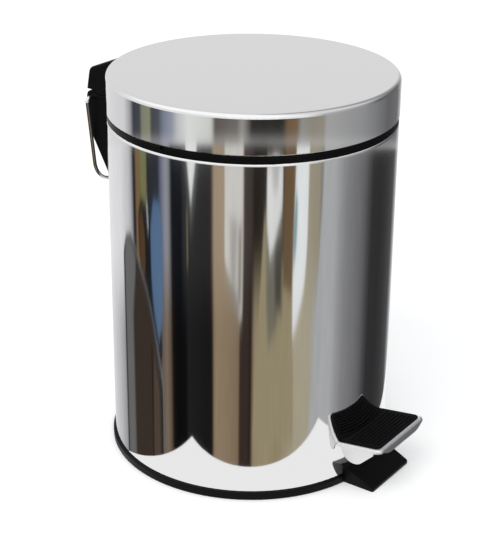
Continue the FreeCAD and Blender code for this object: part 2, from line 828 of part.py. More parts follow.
def make_body_housing():
    outer = across(lower_section(0), housing_half)
    outer = outer.makeFillet(housing_round, side_edges(
        outer, housing_half, lambda box: box.YMax > body_radius and box.ZMax < hinge_z))
    cavity = across(lower_section(housing_wall), housing_half - housing_wall)
    knuckles = both_sides(bar(knuckle_radius, pocket_half, housing_half - fit,
                              hinge_y, hinge_z))
    boss_length = hinge_setback + knuckle_radius
    bosses = radial_pairs(lambda z: housing_boss(z, body_radius, boss_length),
                          housing_screw_rows, body_radius)
    inside = [piece.common(outer) for piece in bosses + knuckles]
    housing = outer.cut(cavity).multiFuse(inside)
    body_room = post(body_radius + fit, 0, 2 * bin_height)
    pocket = bar(pocket_radius, -pocket_half, pocket_half, hinge_y, hinge_z)
    mouth = block(-pocket_half, pocket_half, 0, 2 * hinge_y, hinge_z, 2 * hinge_z)
    land_y = lower_reach - pocket_land
    land_drop = math.sqrt(pocket_radius ** 2 - land_y ** 2)
    land = block(-pocket_half, pocket_half, hinge_y, 2 * hinge_y, hinge_z - land_drop, hinge_z)
    pin_half = hinge_pin_half + fit
    pin_bore = bar(hinge_pin_radius + press, -pin_half, pin_half, hinge_y, hinge_z)
    hook_bore = bar(handle_wire + play, -housing_width, housing_width, hinge_y, hinge_z)
    pilots = radial_pairs(lambda z: screw_pilot(body_inside, z), housing_screw_rows, body_radius)
    cuts = [body_room, pocket, mouth, land, pin_bore, hook_bore]
    return housing.cut(cuts + pilots).removeSplitter()


def make_hinge_pin():
    return bar(hinge_pin_radius, -hinge_pin_half, hinge_pin_half, hinge_y, hinge_z)


def make_carry_handle():
    """Wire bail whose bent ends turn in the outer knuckles."""
    low = handle_half - handle_taper / 2
    hook_end = hinge_pin_half + slot_gap
    points = [Vector(side * x, hinge_y, hinge_z - drop) for side, x, drop in (
        (1, hook_end, 0),
        (1, handle_half, 0),
        (1, low, handle_drop),
        (-1, low, handle_drop),
        (-1, handle_half, 0),
        (-1, hook_end, 0),
    )]
    radii = [handle_hook_bend, handle_bend, handle_bend, handle_hook_bend]
    return bent_wire(rounded_path(points, radii), handle_wire)


# --------------------------------------------------------------------- lift rod

def make_lift_rod():
    points = [
        Vector(rod_lower_hook, rod_y, rod_foot_z),
        Vector(0, rod_y, rod_foot_z),
        Vector(0, rod_y, rod_step_z),
        Vector(0, rod_top_y, rod_step_z + rod_step_height),
        Vector(0, rod_top_y, rod_top_z),
        Vector(rod_upper_hook, rod_top_y, rod_top_z),
    ]
    radii = [rod_hook_bend, rod_bend, rod_bend, rod_hook_bend]
    return bent_wire(rounded_path(points, radii), rod_radius)


def push_nut(x, y, z):
    disc = bar(push_nut_radius, x, x + push_nut_thickness, y, z)
    return disc.cut(bar(rod_radius + press, x - cut_over, x + cut_over, y, z))


def make_rod_push_nuts():
    upper_x = crank_inner + crank_thickness + slot_gap
    lower_x = lever_eye_inner() + lever_thickness + slot_gap
    return Part.Compound([
        push_nut(upper_x, rod_top_y, rod_top_z),
        push_nut(lower_x, rod_y, rod_foot_z),
    ])


def make_rod_guide(z):
    """Bent steel strap, welded to the inside of the tube round the rod."""
    bore = rod_radius + play
    outer = bore + guide_strap
    top = z + guide_length
    wall = post(body_inside - fit, z, top)
    hump = post(outer, z, top, 0, rod_y)
    legs = block(-outer, outer, rod_y, body_radius, z, top)
    foot_half = outer + guide_foot
    feet = curved_plate(body_inside - guide_strap, body_inside, foot_half, z, top)
    strap = hump.multiFuse([legs, feet]).common(wall)
    channel = block(-bore, bore, rod_y, body_radius, z, top)
    return strap.cut([channel, post(bore, z, top, 0, rod_y)])


def make_rod_guides():
    return Part.Compound([make_rod_guide(z) for z in guide_heights])


# ------------------------------------------------------------- pedal and its lever

def lever_eye_inner():
    """Inner side of the lever's rear eye, clear of the rod's bend."""
    return rod_hook_bend + fit


def pedal_length():
    return (pedal_front - pedal_rear) / math.cos(math.radians(pedal_tilt))


def place_on_pedal(shape):
    """Move a piece drawn flat, with the rear edge at y = 0, to the pedal's place."""
    placed = shape.copy()
    placed.rotate(ORIGIN, ACROSS, -pedal_tilt)
    placed.translate(Vector(0, -pedal_rear, pedal_rear_z))
    return placed


def pedal_plan(inset, rear, corner):
    """Outline of the pedal from above, drawn smaller by inset on three sides."""
    half = pedal_width / 2 - inset
    front = -pedal_length() + inset
    turn_y = front + corner
    return outline("xy", (-half, rear), [
        (-half, turn_y),
        (on_circle((-half + corner, turn_y), corner, 225), (-half + corner, front)),
        (half - corner, front),
        (on_circle((half - corner, turn_y), corner, -45), (half, turn_y)),
        (half, rear),
    ])


def folded_block(inset, rear, top, depth, corner, fold):
    """Plan outline with depth, its upper edge rounded on three sides."""
    slab = pedal_plan(inset, rear, corner).extrude(UP * -depth)
    slab.translate(Vector(0, 0, top))
    rim = edges_where(slab, lambda e: abs(e.BoundBox.ZMin - top) < 0.01
                      and e.BoundBox.ZMax - e.BoundBox.ZMin < 0.01
                      and e.BoundBox.YMin < rear - 0.01)
    return slab.makeFillet(fold, rim)


def make_cheek():
    """D-shaped side wall under the pedal's edge."""
    tilt = math.tan(math.radians(pedal_tilt))

    def under_rim(y):
        return pedal_rear_z + (y - pedal_rear) * tilt - pedal_fold

    heel = on_circle(cheek_centre, cheek_radius, cheek_heel_angle)
    lowest = on_circle(cheek_centre, cheek_radius, 270)
    middle = on_circle(cheek_centre, cheek_radius, (cheek_heel_angle + 270) / 2)
    corner = (cheek_corner, lowest[1])
    enter, turn, leave = corner_arc(lowest, corner, cheek_toe, cheek_corner_round)
    points = [heel, (middle, lowest), enter, (turn, leave),
              cheek_toe, (cheek_toe[0], under_rim(cheek_toe[0]))]

    def forward(point):
        """The pedal faces -Y."""
        if isinstance(point[0], tuple):
            return tuple(forward(each) for each in point)
        return (-point[0], point[1])

    side = outline("yz", (-heel[0], under_rim(heel[0])), [forward(point) for point in points])
    cheek = across(side, pedal_sheet / 2)
    cheek.translate(Vector(pedal_width / 2 - pedal_sheet / 2, 0, 0))
    return cheek


def rivet_holes(depth):
    """Holes through the pedal's top, and depth below it."""
    radius = rivet_radius + press
    return [place_on_pedal(post(radius, -depth, cut_over, 0, step - pedal_length()))
            for step in rivet_steps]


def rim_front():
    """Front view of the tray: its rim is deepest in the middle."""
    half = pedal_width / 2
    start = half - pedal_corner
    end = start - pedal_rim_rise
    drop = pedal_rim - pedal_rim_end
    radius = (pedal_rim_rise ** 2 + drop ** 2) / (2 * drop)
    sweep = math.degrees(math.asin(pedal_rim_rise / radius))
    left = on_circle((-end, radius - pedal_rim), radius, 270 - sweep / 2)
    right = on_circle((end, radius - pedal_rim), radius, 270 + sweep / 2)
    face = outline("xz", (-half, cut_over), [
        (-half, -pedal_rim_end),
        (-start, -pedal_rim_end),
        (left, (-end, -pedal_rim)),
        (end, -pedal_rim),
        (right, (start, -pedal_rim_end)),
        (half, -pedal_rim_end),
        (half, cut_over),
    ])
    return face.extrude(Vector(0, -2 * pedal_length(), 0))


def make_pedal_tray():
    shell = folded_block(0, 0, 0, pedal_rim, pedal_corner, pedal_fold)
    hollow = folded_block(pedal_sheet, cut_over, -pedal_sheet, 2 * pedal_rim,
                          pedal_corner - pedal_sheet, pedal_fold - pedal_sheet)
    tray = place_on_pedal(shell.cut(hollow).common(rim_front()))
    tray = tray.multiFuse(both_sides(make_cheek()))
    tube_room = post(body_radius + pedal_wall_gap, 0, bin_height)
    return tray.cut(rivet_holes(2 * pedal_sheet) + [tube_room])


def make_pedal_pad():
    """Rubber pad with ribs across the pedal."""
    base = pedal_plan(pad_border, 0, pad_corner).extrude(UP * pad_base)
    tube_front = pedal_wrap + pedal_wall_gap + pad_wall_gap
    first = -pedal_length() + pad_border + pad_rib_front
    count = int((-tube_front - pad_rib_width - first) / pad_rib_pitch) + 1
    half = pedal_width / 2 - pad_border - pad_rib_end
    ribs = []
    for index in range(count):
        y = first + index * pad_rib_pitch
        ribs.append(block(-half, half, y - pad_rib_width / 2, y + pad_rib_width / 2,
                          pad_base / 2, pad_base + pad_rib_height))
    pad = base.multiFuse(ribs).removeSplitter()
    pad.translate(Vector(0, 0, press))
    tube_room = post(body_radius + pedal_wall_gap + pad_wall_gap, 0, bin_height)
    return place_on_pedal(pad).cut(tube_room)


def make_lever_rivets():
    rivets = []
    for step in rivet_steps:
        y = step - pedal_length()
        bottom = -pedal_sheet - lever_thickness - fit
        shank = post(rivet_radius, bottom - fit, 0, 0, y)
        head = post(rivet_head, bottom - rivet_head_height, bottom, 0, y)
        rivets.append(place_on_pedal(shank.fuse(head)))
    return Part.Compound(rivets)


def strip_face(points, thickness):
    """Side view of a bent bar: the line through points, thickened both ways."""
    half = thickness / 2
    upper = []
    lower = []
    for index, (y, z) in enumerate(points):
        before = points[max(index - 1, 0)]
        after = points[min(index + 1, len(points) - 1)]
        first = math.atan2(z - before[1], y - before[0])
        second = math.atan2(after[1] - z, after[0] - y)
        if index == 0:
            first = second
        if index == len(points) - 1:
            second = first
        normal = (first + second) / 2 + math.pi / 2
        reach = half / math.cos((second - first) / 2)
        upper.append((y + reach * math.cos(normal), z + reach * math.sin(normal)))
        lower.append((y - reach * math.cos(normal), z - reach * math.sin(normal)))
    loop = upper + lower[::-1]
    return outline("yz", loop[0], loop[1:])


def make_pedal_lever():
    tilt = math.radians(pedal_tilt)
    under = pedal_sheet + lever_thickness / 2 + fit / 2

    def under_pedal(y):
        return (-pedal_rear + y * math.cos(tilt) - under * math.sin(tilt),
                pedal_rear_z - y * math.sin(tilt) - under * math.cos(tilt))

    first = under_pedal(pedal_corner - pedal_length())
    second = under_pedal(lever_inner_run)
    third = (pivot_y - lever_dip_start, lever_low_z + lever_thickness)
    fourth = (pivot_y - lever_dip_end, lever_low_z)
    fifth = (lever_rear_end, lever_low_z)
    half = lever_width / 2
    strip = across(strip_face([first, second, third, fourth, fifth], lever_thickness), half)
    tab_start = lever_rear_end - lever_tab_length
    flange = block(half - lever_thickness, half, fourth[0] + lever_flange_start, tab_start,
                   lever_low_z, lever_low_z + lever_flange)
    ear_rim = pivot_radius + lug_rim
    ear = bar(ear_rim, half - lever_thickness, half, pivot_y, pivot_z)
    x0 = lever_eye_inner()
    x1 = x0 + lever_thickness
    drop = pivot_z - rod_foot_z
    stray = lever_reach * (1 - math.cos(pedal_travel)) - drop * math.sin(pedal_travel)
    slot_half = abs(stray) / 2 + fit
    slot_y = rod_y + stray / 2
    slot_radius = rod_radius + slot_gap
    eye_rim = slot_radius + lever_eye
    eye_end = slot_y + slot_half
    tab = block(x0, x1, tab_start, eye_end, rod_foot_z - eye_rim, rod_foot_z + eye_rim)
    tab = tab.fuse(bar(eye_rim, x0, x1, eye_end, rod_foot_z))
    pieces = both_sides(flange) + both_sides(ear) + [tab]
    lever = strip.multiFuse(pieces).removeSplitter()
    pin_bore = bar(pivot_radius + play, -lever_width, lever_width, pivot_y, pivot_z)
    rod_slot = slot_along_y(slot_y, rod_foot_z, slot_half, slot_radius,
                            x0 - slot_gap, x1 + slot_gap)
    return lever.cut(rivet_holes(2 * lever_thickness) + [pin_bore, rod_slot])


# ----------------------------------------------------------------- inner bucket

def make_inner_bucket():
    floor_r = bucket_floor_radius
    top_r = bucket_top_radius
    outer_centre = (floor_r - bucket_round, bucket_bottom_z + bucket_round)
    inner_round = bucket_round - bucket_wall
    profile = outline("xz", (0, bucket_bottom_z), [
        (floor_r - bucket_round, bucket_bottom_z),
        (on_circle(outer_centre, bucket_round, -45), (floor_r, bucket_bottom_z + bucket_round)),
        (top_r, bucket_rim_z),
        (bucket_rim_radius, bucket_rim_z),
        (bucket_rim_radius, bucket_rim_top),
        (top_r - bucket_wall, bucket_rim_top),
        (floor_r - bucket_wall, bucket_bottom_z + bucket_round),
        (on_circle(outer_centre, inner_round, -45),
         (floor_r - bucket_round, bucket_bottom_z + bucket_wall)),
        (0, bucket_bottom_z + bucket_wall),
    ])
    ear_outer = bucket_top_radius - ear_inset
    ear_inner = ear_outer - ear_thickness
    ear_half = ear_width / 2
    ear_round_z = ear_pivot_z + ear_top - ear_half
    ear = block(ear_inner, ear_outer, -ear_half, ear_half, bucket_rim_z - ear_half, ear_round_z)
    ear = ear.fuse(bar(ear_half, ear_inner, ear_outer, 0, ear_round_z))
    bucket = turned(profile).multiFuse(both_sides(ear)).removeSplitter()
    bore = bar(bail_wire + play, -bucket_rim_radius, bucket_rim_radius, 0, ear_pivot_z)
    return bucket.cut(bore)


def make_bucket_handle():
    """Wire bail, folded down on the bucket's rim at the front."""
    radius = bucket_rim_radius - bail_inset
    hook_end = bucket_top_radius - ear_inset - ear_thickness - bail_hook_out
    start = radius - bail_bend
    corner = radius - bail_bend * (1 - math.sqrt(0.5))
    corner_y = corner - radius

    def at(x, y):
        return Vector(x, y, 0)

    edges = [
        Part.LineSegment(at(hook_end, 0), at(start, 0)).toShape(),
        Part.Arc(at(start, 0), at(corner, corner_y), at(radius, -bail_bend)).toShape(),
        Part.Arc(at(radius, -bail_bend), at(0, -radius), at(-radius, -bail_bend)).toShape(),
        Part.Arc(at(-radius, -bail_bend), at(-corner, corner_y), at(-start, 0)).toShape(),
        Part.LineSegment(at(-start, 0), at(-hook_end, 0)).toShape(),
    ]
    bail = bent_wire(edges, bail_wire)
    fall = ear_pivot - bail_wire - bail_rest_gap
    bail.rotate(ORIGIN, ACROSS, math.degrees(math.asin(fall / radius)))
    bail.translate(Vector(0, 0, ear_pivot_z))
    return bail


# ------------------------------------------------------------------------ output

nodes = {
    "body_shell": make_body_shell,
    "top_collar": make_top_collar,
    "base_pan": make_base_pan,
    "body_hinge_housing": make_body_housing,
    "body_backing_plate": make_body_backing_plate,
    "housing_screws": make_housing_screws,
    "hinge_pin": make_hinge_pin,
    "rod_guides": make_rod_guides,
    "lever_pivot_pin": make_pivot_pin,
    "pivot_clips": make_pivot_clips,
    "lid_shell": make_lid_shell,
    "lid_hinge_housing": make_lid_housing,
    "lid_backing_plate": make_lid_backing_plate,
    "lid_screws": make_lid_screws,
    "pedal_tray": make_pedal_tray,
    "pedal_pad": make_pedal_pad,
    "pedal_lever": make_pedal_lever,
    "lever_rivets": make_lever_rivets,
    "lift_rod": make_lift_rod,
    "rod_push_nuts": make_rod_push_nuts,
    "carry_handle": make_carry_handle,
    "inner_bucket": make_inner_bucket,
    "bucket_handle": make_bucket_handle,
}

for name, make in nodes.items():
    export(name, make())

print("rod travel", round(rod_travel, 3), "mm")
print("pedal travel", round(math.degrees(pedal_travel), 3), "degrees")
print("hinge axis", hinge_y, hinge_z, "rod", rod_top_y, round(rod_top_z, 3))
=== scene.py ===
"""Looks of a round steel pedal bin: its finishes, a finely shaped pad, and a stage
with a room for the polished steel to mirror."""

import math

import bmesh
import bpy
from mathutils import Matrix, Vector


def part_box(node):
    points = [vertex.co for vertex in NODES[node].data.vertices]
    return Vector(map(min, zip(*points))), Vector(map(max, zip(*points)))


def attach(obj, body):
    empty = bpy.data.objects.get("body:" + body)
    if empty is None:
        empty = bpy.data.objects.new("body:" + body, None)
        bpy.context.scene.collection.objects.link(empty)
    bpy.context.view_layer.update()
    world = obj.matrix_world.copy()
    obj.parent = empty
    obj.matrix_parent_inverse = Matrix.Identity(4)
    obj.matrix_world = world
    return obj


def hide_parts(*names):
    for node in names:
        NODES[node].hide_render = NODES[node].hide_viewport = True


bl_info = {
    "name": "Pedal bin looks",
    "version": (1, 0, 0),
    "blender": (4, 5, 0),
    "location": "View3D > Sidebar > Pedal bin",
    "description": "Dresses the packed model of a round steel pedal bin and sets its stage",
    "category": "Object",
}

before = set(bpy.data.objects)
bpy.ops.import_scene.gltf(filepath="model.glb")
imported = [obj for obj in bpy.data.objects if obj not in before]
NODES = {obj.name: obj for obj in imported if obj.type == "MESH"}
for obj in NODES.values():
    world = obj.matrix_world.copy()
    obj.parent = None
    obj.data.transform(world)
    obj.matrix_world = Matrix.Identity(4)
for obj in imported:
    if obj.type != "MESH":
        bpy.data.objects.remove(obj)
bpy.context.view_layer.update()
MM = 0.001
DEGREE = math.pi / 180

# ------------------------------------------------------------------ plain helpers


def srgb(hex_colour, gain=1.0):
    """Linear RGBA of an sRGB hex colour."""
    linear = []
    for start in (0, 2, 4):
        value = int(hex_colour[start:start + 2], 16) / 255
        value = value / 12.92 if value <= 0.04045 else ((value + 0.055) / 1.055) ** 2.4
        linear.append(value * gain)
    return (*linear, 1.0)


def add_node(tree, kind, settings=None, links=None):
    """New node; a setting names an input socket or an attribute, a link feeds an input."""
    node = tree.nodes.new(kind)
    for key, value in (settings or {}).items():
        if isinstance(key, int) or key in node.inputs:
            node.inputs[key].default_value = value
        else:
            setattr(node, key, value)
    for key, source in (links or {}).items():
        tree.links.new(source, node.inputs[key])
    return node


def new_material(name):
    """Empty node material with its output; returns the material and its tree."""
    material = bpy.data.materials.new(name)
    material.use_nodes = True
    material.node_tree.nodes.clear()
    return material, material.node_tree


def principled(tree, settings, links=None):
    """Principled surface joined to the material's output."""
    shader = add_node(tree, "ShaderNodeBsdfPrincipled", settings, links)
    add_node(tree, "ShaderNodeOutputMaterial", links={"Surface": shader.outputs[0]})
    return shader


def object_point(tree, scale=(1, 1, 1)):
    """Object coordinates in metres, stretched by scale."""
    place = add_node(tree, "ShaderNodeTexCoord")
    mapping = add_node(tree, "ShaderNodeMapping", {"Scale": scale},
                       {"Vector": place.outputs["Object"]})
    return mapping.outputs[0]


def per_metre(millimetres):
    """Pattern scale that gives features of this size."""
    return 1 / (millimetres * MM)


def ranged(tree, source, low, high):
    """Spread a 0 to 1 value over a range."""
    node = add_node(tree, "ShaderNodeMapRange", {"To Min": low, "To Max": high},
                    {"Value": source})
    return node.outputs[0]


# ---------------------------------------------------------------------- settings


class BinFinishes(bpy.types.PropertyGroup):
    """Colours and gloss of the bin's materials."""

    sheet_gloss: bpy.props.FloatProperty(
        name="Body roughness", description="Roughness of the polished body sheet",
        default=0.055, min=0.0, max=1.0, subtype="FACTOR")
    lid_gloss: bpy.props.FloatProperty(
        name="Lid roughness", description="Roughness of the satin lid",
        default=0.036, min=0.0, max=1.0, subtype="FACTOR")
    steel_tint: bpy.props.FloatVectorProperty(
        name="Steel", description="Reflection tint of stainless sheet",
        default=srgb("e6e6e7")[:3], subtype="COLOR", size=3, min=0, max=1)
    trim_black: bpy.props.FloatVectorProperty(
        name="Trim black", description="Moulded collar, base and housings",
        default=srgb("060607")[:3], subtype="COLOR", size=3, min=0, max=1)
    rubber_black: bpy.props.FloatVectorProperty(
        name="Rubber black", description="Ribbed pad on the pedal",
        default=srgb("050506")[:3], subtype="COLOR", size=3, min=0, max=1)


class BinPad(bpy.types.PropertyGroup):
    """Sizes of the pedal's ribbed pad."""

    tilt: bpy.props.FloatProperty(
        name="Tilt", description="How far the pedal's front stands up",
        default=7.9 * DEGREE, unit="ROTATION")
    corner: bpy.props.FloatProperty(
        name="Corner radius", description="Radius of the pad's front corners",
        default=4.5 * MM, unit="LENGTH")
    lip_gap: bpy.props.FloatProperty(
        name="Lip gap", description="Room between the pad's rear lip and the body",
        default=0.16 * MM, unit="LENGTH")
    base: bpy.props.FloatProperty(
        name="Base", description="Thickness of the pad below its ribs",
        default=0.9 * MM, unit="LENGTH")
    rib_height: bpy.props.FloatProperty(
        name="Rib height", description="How far the ribs stand up from the base",
        default=0.9 * MM, unit="LENGTH")
    rib_width: bpy.props.FloatProperty(
        name="Rib width", description="Width of each rib", default=1.7 * MM, unit="LENGTH")
    rib_pitch: bpy.props.FloatProperty(
        name="Rib pitch", description="From one rib to the next",
        default=3.1 * MM, unit="LENGTH")
    rib_front: bpy.props.FloatProperty(
        name="First rib", description="Middle of the first rib, from the front edge",
        default=3.4 * MM, unit="LENGTH")
    rib_end: bpy.props.FloatProperty(
        name="Smooth rim", description="From a rib's end to the pad's side",
        default=4.4 * MM, unit="LENGTH")


class BinStage(bpy.types.PropertyGroup):
    """Camera and soft light."""

    lens: bpy.props.FloatProperty(
        name="Lens", description="Focal length on a 36 mm high picture",
        default=97.02, min=20, max=300, unit="CAMERA")
    distance: bpy.props.FloatProperty(
        name="Distance", description="Camera to the middle of the body",
        default=1.06056, min=0.3, max=5, unit="LENGTH")
    heading: bpy.props.FloatProperty(
        name="Heading", description="Camera's place round the bin, from the pedal's side",
        default=-55 * DEGREE, unit="ROTATION")
    pitch: bpy.props.FloatProperty(
        name="Pitch", description="How far the camera looks down",
        default=22.75 * DEGREE, unit="ROTATION")
    roll: bpy.props.FloatProperty(
        name="Roll", description="Camera's turn about its own line of sight",
        default=0.01025, unit="ROTATION")
    aim: bpy.props.FloatProperty(
        name="Aim", description="Height that the camera looks at",
        default=0.150, min=0, max=1, unit="LENGTH")
    shift_x: bpy.props.FloatProperty(
        name="Shift across", description="Picture's shift, as a share of its height",
        default=-0.0226, min=-1, max=1)
    shift_y: bpy.props.FloatProperty(
        name="Shift up", description="Picture's shift, as a share of its height",
        default=-0.0423, min=-1, max=1)
    softbox: bpy.props.FloatProperty(
        name="Softbox", description="Power of the overhead light",
        default=9, min=0, max=100, unit="POWER")


# --------------------------------------------------------------------- materials

# how much a patch's colour departs from the clean one
STAIN_DARKER = 0.72
HANDLED_LIGHTER = 1.5
DUST_LIGHTER = 2.4
DUST_GREY = 0.004


def stainless_sheet(name, tint, roughness, ripple_mm, depth_mm):
    """Cold-rolled stainless sheet, polished: long soft ripples left by the rolls,
    and faint cloudy patches where hands have wiped it."""
    material, tree = new_material(name)
    clouds = add_node(tree, "ShaderNodeTexNoise",
                      {"Scale": per_metre(38), "Detail": 3.0, "Roughness": 0.55},
                      {"Vector": object_point(tree)})
    gloss = ranged(tree, clouds.outputs[0], roughness * 0.8, roughness * 1.25)
    ripple = add_node(tree, "ShaderNodeTexNoise",
                      {"Scale": per_metre(ripple_mm), "Detail": 1.0},
                      {"Vector": object_point(tree, (1, 1, 0.18))})
    bump = add_node(tree, "ShaderNodeBump",
                    {"Strength": 0.5, "Distance": depth_mm * MM},
                    {"Height": ripple.outputs[0]})
    principled(tree, {"Base Color": (*tint, 1), "Metallic": 1.0},
               {"Roughness": gloss, "Normal": bump.outputs[0]})
    return material


def brushed_lid(name, tint, roughness):
    """Stainless lid, turned against a fine abrasive: a satin whose grain shows as
    a soft blur.  Real scratches are 0.05 mm apart; they are drawn 0.5 mm apart,
    the finest that shows."""
    material, tree = new_material(name)
    grain = add_node(tree, "ShaderNodeTexNoise",
                     {"Scale": per_metre(0.5), "Detail": 2.0, "Roughness": 0.6},
                     {"Vector": object_point(tree, (1, 1, 0.35))})
    clouds = add_node(tree, "ShaderNodeTexNoise",
                      {"Scale": per_metre(45), "Detail": 3.0},
                      {"Vector": object_point(tree)})
    mixed = add_node(tree, "ShaderNodeMath", {"operation": "MULTIPLY_ADD", 1: 0.35},
                     {0: grain.outputs[0], 2: clouds.outputs[0]})
    gloss = ranged(tree, mixed.outputs[0], roughness * 0.75, roughness * 1.3)
    bump = add_node(tree, "ShaderNodeBump", {"Strength": 0.1, "Distance": 0.01 * MM},
                    {"Height": grain.outputs[0]})
    principled(tree, {"Base Color": (*tint, 1), "Metallic": 1.0},
               {"Roughness": gloss, "Normal": bump.outputs[0]})
    return material


def drawn_steel(name, hex_colour, roughness):
    """Bare drawn or pressed steel: dull, with small stains."""
    material, tree = new_material(name)
    stains = add_node(tree, "ShaderNodeTexNoise",
                      {"Scale": per_metre(6), "Detail": 4.0, "Roughness": 0.6},
                      {"Vector": object_point(tree)})
    base = srgb(hex_colour)
    darker = tuple(channel * STAIN_DARKER for channel in base[:3]) + (1.0,)
    colour = add_node(tree, "ShaderNodeMix", {"data_type": "RGBA", "A": darker, "B": base},
                      {"Factor": stains.outputs[0]})
    gloss = ranged(tree, stains.outputs[0], roughness * 1.2, roughness * 0.85)
    principled(tree, {"Metallic": 1.0}, {"Base Color": colour.outputs["Result"],
                                         "Roughness": gloss})
    return material


def chromed_wire(name):
    """Bright nickel-chrome plating on drawn wire: mirror gloss, a trace of orange peel."""
    material, tree = new_material(name)
    peel = add_node(tree, "ShaderNodeTexNoise", {"Scale": per_metre(2.5), "Detail": 2.0},
                    {"Vector": object_point(tree)})
    gloss = ranged(tree, peel.outputs[0], 0.05, 0.12)
    bump = add_node(tree, "ShaderNodeBump", {"Strength": 0.2, "Distance": 0.02 * MM},
                    {"Height": peel.outputs[0]})
    principled(tree, {"Base Color": srgb("e3e3e4"), "Metallic": 1.0},
               {"Roughness": gloss, "Normal": bump.outputs[0]})
    return material


def moulded_black(name, tint, roughness, grain_mm):
    """Black polypropylene from a spark-eroded mould: even fine grain, a soft sheen
    that is a little glossier where it is handled."""
    material, tree = new_material(name)
    grain = add_node(tree, "ShaderNodeTexNoise",
                     {"Scale": per_metre(grain_mm), "Detail": 2.0, "Roughness": 0.7},
                     {"Vector": object_point(tree)})
    wear = add_node(tree, "ShaderNodeTexNoise",
                    {"Scale": per_metre(22), "Detail": 3.0},
                    {"Vector": object_point(tree)})
    lighter = tuple(channel * HANDLED_LIGHTER for channel in tint)
    colour = add_node(tree, "ShaderNodeMix",
                      {"data_type": "RGBA", "A": (*tint, 1), "B": (*lighter, 1)},
                      {"Factor": wear.outputs[0]})
    gloss = ranged(tree, wear.outputs[0], roughness * 0.85, roughness * 1.15)
    bump = add_node(tree, "ShaderNodeBump", {"Strength": 0.35, "Distance": 0.03 * MM},
                    {"Height": grain.outputs[0]})
    principled(tree, {"IOR": 1.49, "Specular IOR Level": 0.09},
               {"Base Color": colour.outputs["Result"],
                "Roughness": gloss, "Normal": bump.outputs[0]})
    return material


def pad_rubber(name, tint):
    """Pressed black rubber: matt, with patches of grey dust."""
    material, tree = new_material(name)
    dust = add_node(tree, "ShaderNodeTexNoise",
                    {"Scale": per_metre(4), "Detail": 5.0, "Roughness": 0.65},
                    {"Vector": object_point(tree)})
    dusty = tuple(channel * DUST_LIGHTER + DUST_GREY for channel in tint)
    colour = add_node(tree, "ShaderNodeMix",
                      {"data_type": "RGBA", "A": (*tint, 1), "B": (*dusty, 1)},
                      {"Factor": dust.outputs[0]})
    bump = add_node(tree, "ShaderNodeBump", {"Strength": 0.4, "Distance": 0.05 * MM},
                    {"Height": dust.outputs[0]})
    principled(tree, {"Roughness": 0.72, "IOR": 1.52, "Specular IOR Level": 0.06},
               {"Base Color": colour.outputs["Result"], "Normal": bump.outputs[0]})
    return material


def paint(nodes, material):
    """Give CAD nodes a material in every slot."""
    for name in nodes:
        for slot in NODES[name].material_slots:
            slot.material = material


# ------------------------------------------------------------------ shaped pieces

SMOOTH_UNDER = 40 * DEGREE    # edges that fold more than this stay sharp
BEVEL = {"offset_type": "OFFSET", "profile": 0.5, "material": -1}
ROUND_STEPS = 3               # across a small rounded edge
CORNER_STEPS = 7              # round a corner of the pad
WALL_STEPS = 28               # along the edge that follows the body
RIM_ROUND = 0.4               # of the pad's base
RIB_ROUND = 0.36              # of a rib's width


def new_object(name, shape):
    """Object from a finished bmesh, at the origin."""
    mesh = bpy.data.meshes.new(name)
    shape.to_mesh(mesh)
    shape.free()
    piece = bpy.data.objects.new(name, mesh)
    bpy.context.scene.collection.objects.link(piece)
    return piece


def stands_for(piece, node, body, material):
    """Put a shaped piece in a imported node's place."""
    piece.data.materials.append(material)
    piece.data.shade_smooth()
    piece.data.set_sharp_from_angle(angle=SMOOTH_UNDER)
    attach(piece, body)
    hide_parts(node)


def pad_base(half, rear_edge, sizes):
    """Flat pad with rounded rim; its rear edge is where rear_edge says."""
    shape = bmesh.new()
    corners = [shape.verts.new((across, along, 0)) for across, along in (
        (-half, 0), (half, 0), (half, rear_edge(half)), (-half, rear_edge(half)))]
    shape.faces.new(corners)
    bmesh.ops.bisect_edges(shape, edges=[shape.edges.get(corners[2:])], cuts=WALL_STEPS)
    for corner in shape.verts:
        if corner.co.y > 0:
            corner.co.y = rear_edge(corner.co.x)
    nose = [corner for corner in shape.verts if corner.co.y == 0]
    bmesh.ops.bevel(shape, geom=nose, offset=sizes.corner, segments=CORNER_STEPS,
                    affect="VERTICES", **BEVEL)
    grown = bmesh.ops.extrude_face_region(shape, geom=shape.faces[:])["geom"]
    lifted = [each for each in grown if isinstance(each, bmesh.types.BMVert)]
    bmesh.ops.translate(shape, vec=(0, 0, sizes.base), verts=lifted)
    rim = [each for each in grown if isinstance(each, bmesh.types.BMEdge)]
    bmesh.ops.bevel(shape, geom=rim, offset=sizes.base * RIM_ROUND, segments=ROUND_STEPS,
                    affect="EDGES", **BEVEL)
    return shape


def add_rib(shape, reach, along, sizes):
    """Rib across the pad, rooted in the middle of its base and rounded on top."""
    bottom = sizes.base / 2
    height = sizes.base + sizes.rib_height - bottom
    middle = Matrix.Translation((0, along, bottom + height / 2))
    size = Matrix.Diagonal((2 * reach, sizes.rib_width, height, 1))
    bar = bmesh.ops.create_cube(shape, size=1, matrix=middle @ size)["verts"]
    top = {corner for corner in bar if corner.co.z > bottom + height / 2}
    edges = [edge for edge in shape.edges if all(end in top for end in edge.verts)]
    bmesh.ops.bevel(shape, geom=edges, offset=sizes.rib_width * RIB_ROUND,
                    segments=ROUND_STEPS, affect="EDGES", **BEVEL)


# --------------------------------------------------------------------- operators


